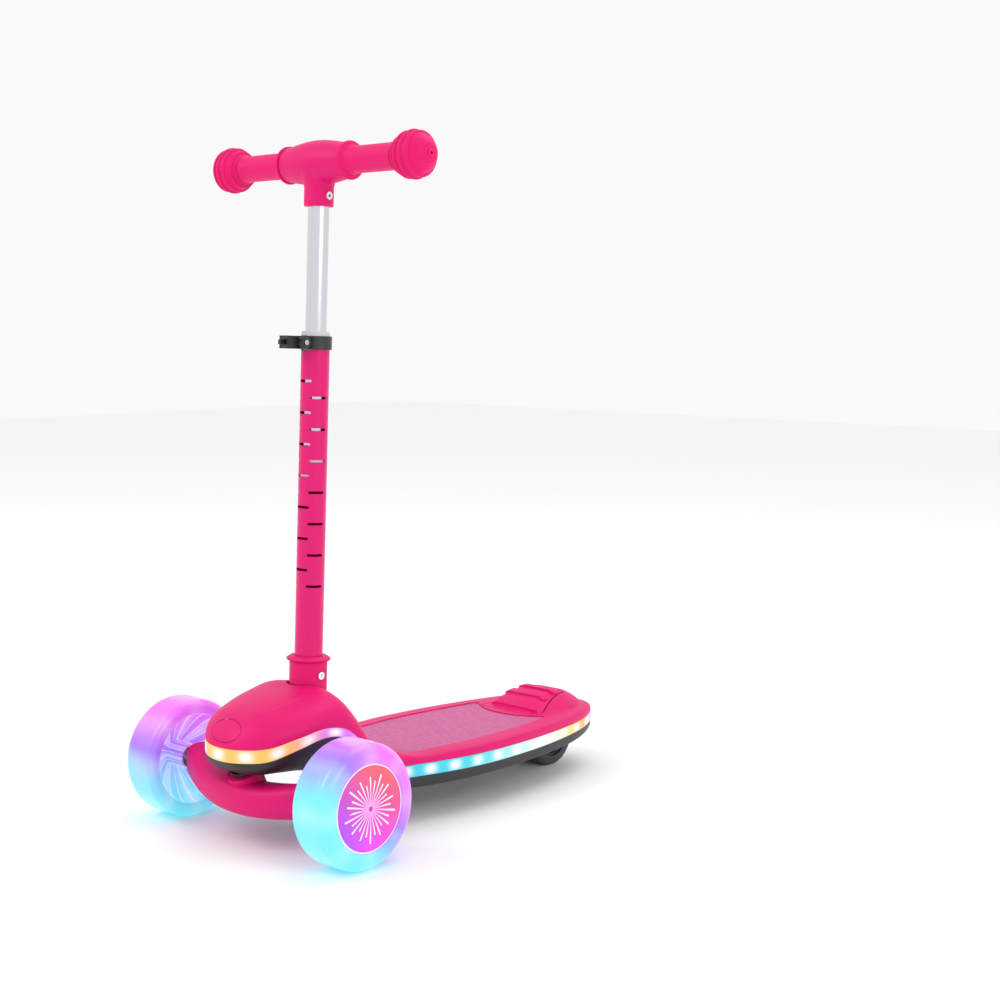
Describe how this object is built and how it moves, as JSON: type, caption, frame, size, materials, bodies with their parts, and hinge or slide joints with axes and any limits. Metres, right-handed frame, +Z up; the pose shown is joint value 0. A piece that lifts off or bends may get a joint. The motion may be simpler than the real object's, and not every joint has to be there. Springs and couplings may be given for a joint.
{
  "type": "folding kick scooter",
  "caption": "Low folding kick scooter for children, with lit front wheels on a steering truck, a domed deck with a light band, a rear fender brake and a height-adjustable handlebar.",
  "frame": {"origin": "middle of the footprint on the floor, under the middle of the box", "axes": "+Z up, -Y to the front, +X to the rider's left"},
  "size_m": [0.2986, 0.5384, 0.6765],
  "materials": {
    "shell": "glossy moulded, hot pink",
    "grip_soft": "soft satin, hot pink",
    "stem_paint": "gloss paint, hot pink",
    "base_black": "satin, fine texture",
    "band_clear": "milky translucent light guide",
    "film": "textured adhesive grip film with a line pattern",
    "steel": "zinc plated",
    "chrome": "polished",
    "tube_bright": "polished tube",
    "sleeve_grey": "satin, light grey",
    "wheel_clear": "translucent cast urethane",
    "hub_clear": "clear moulded",
    "cap_print": "printed ray pattern under a clear face",
    "rear_tread": "satin cast urethane",
    "board_green": "solder mask",
    "brake_black": "matt"
  },
  "bodies": {
    "deck": {"deck_top": "shell", "deck_base": "base_black", "light_band": "band_clear", "led_strip": "board_green", "grip_film": "film", "fold_cradle": "shell", "fold_pin": "steel", "latch_pin": "steel", "kingpin": "steel", "kingpin_nut": "steel", "steer_pad": "base_black", "steer_bracket": "base_black", "battery_holder": "base_black", "batteries": "steel", "battery_cover": "base_black", "control_board": "board_green", "rear_axle": "steel", "rear_axle_nuts": "steel", "brake_pin": "steel", "deck_screws": "steel", "button_spring": "steel"},
    "truck": {"truck_beam": "shell", "axle_bolts": "steel", "axle_spacers": "steel", "axle_magnets": "base_black"},
    "wheel_right": {"tyre_right": "wheel_clear", "hub_right": "hub_clear", "hubcap_right": "cap_print", "bearings_right": "steel", "led_ring_right": "board_green"},
    "wheel_left": {"tyre_left": "wheel_clear", "hub_left": "hub_clear", "hubcap_left": "cap_print", "bearings_left": "steel", "led_ring_left": "board_green"},
    "rear_wheel": {"rear_tyre": "rear_tread", "rear_hub": "base_black", "rear_bearings": "steel"},
    "brake": {"brake_pedal": "shell", "brake_pad": "brake_black"},
    "fold_button": {"fold_button": "shell"},
    "fold_latch": {"fold_latch": "base_black"},
    "light_switch": {"light_button": "base_black"},
    "stem": {"stem_socket": "shell", "lower_tube": "stem_paint", "tube_sleeve": "sleeve_grey", "socket_screw": "chrome", "clamp_ring": "base_black", "clamp_bolt": "steel"},
    "clamp_lever": {"clamp_lever": "base_black", "lever_pin": "steel"},
    "thumb_nut": {"thumb_nut": "base_black"},
    "handlebar": {"upper_tube": "tube_bright", "tube_plug": "sleeve_grey", "tee_piece": "shell", "cross_bar": "steel", "grip_right": "grip_soft", "grip_left": "grip_soft", "tee_screw": "chrome"}
  },
  "joints": [
    {"name": "stem_fold", "type": "hinge", "parent": "deck", "child": "stem", "pos_m": [0, -0.1522, 0.1071], "axis": [-1, 0, 0], "range_deg": [0, 86]},
    {"name": "height_slide", "type": "slide", "parent": "stem", "child": "handlebar", "axis": [0, 0.0349, 0.9994], "range_m": [-0.08, 0.082]},
    {"name": "clamp_lever_turn", "type": "hinge", "parent": "stem", "child": "clamp_lever", "pos_m": [-0.0162, -0.16411, 0.48224], "axis": [0, 0.0349, 0.9994], "range_deg": [0, 120]},
    {"name": "thumb_nut_turn", "type": "hinge", "parent": "stem", "child": "thumb_nut", "pos_m": [0.0107, -0.16411, 0.48224], "axis": [1, 0, 0], "continuous": true},
    {"name": "truck_steer", "type": "hinge", "parent": "deck", "child": "truck", "pos_m": [0, -0.227, 0.055], "axis": [0, -0.4226, 0.9063], "range_deg": [-12, 12], "stiffness_Nm_per_rad": 30},
    {"name": "wheel_right_spin", "type": "hinge", "parent": "truck", "child": "wheel_right", "pos_m": [0.126, -0.209, 0.06], "axis": [1, 0, 0], "continuous": true},
    {"name": "wheel_left_spin", "type": "hinge", "parent": "truck", "child": "wheel_left", "pos_m": [-0.126, -0.209, 0.06], "axis": [1, 0, 0], "continuous": true},
    {"name": "rear_wheel_spin", "type": "hinge", "parent": "deck", "child": "rear_wheel", "pos_m": [0, 0.2055, 0.035], "axis": [1, 0, 0], "continuous": true},
    {"name": "brake_press", "type": "hinge", "parent": "deck", "child": "brake", "pos_m": [0, 0.157, 0.0622], "axis": [-1, 0, 0], "range_deg": [0, 3], "stiffness_Nm_per_rad": 2, "springref_deg": -5.73},
    {"name": "fold_button_press", "type": "slide", "parent": "deck", "child": "fold_button", "axis": [0, 1, 0], "range_m": [0, 0.004], "stiffness_N_per_m": 400, "springref_m": -0.004},
    {"name": "fold_latch_turn", "type": "hinge", "parent": "deck", "child": "fold_latch", "pos_m": [0, -0.2072, 0.0981], "axis": [-1, 0, 0], "range_deg": [0, 14], "stiffness_Nm_per_rad": 0.05, "springref_deg": -5.73},
    {"name": "light_button_press", "type": "slide", "parent": "deck", "child": "light_switch", "axis": [0, 0, 1], "range_m": [0, 0.0012], "stiffness_N_per_m": 600, "springref_m": -0.001}
  ],
  "couplings": [
    {"joint": "fold_latch_turn", "follows": "fold_button_press", "rad_per_m": 59.172}
  ]
}
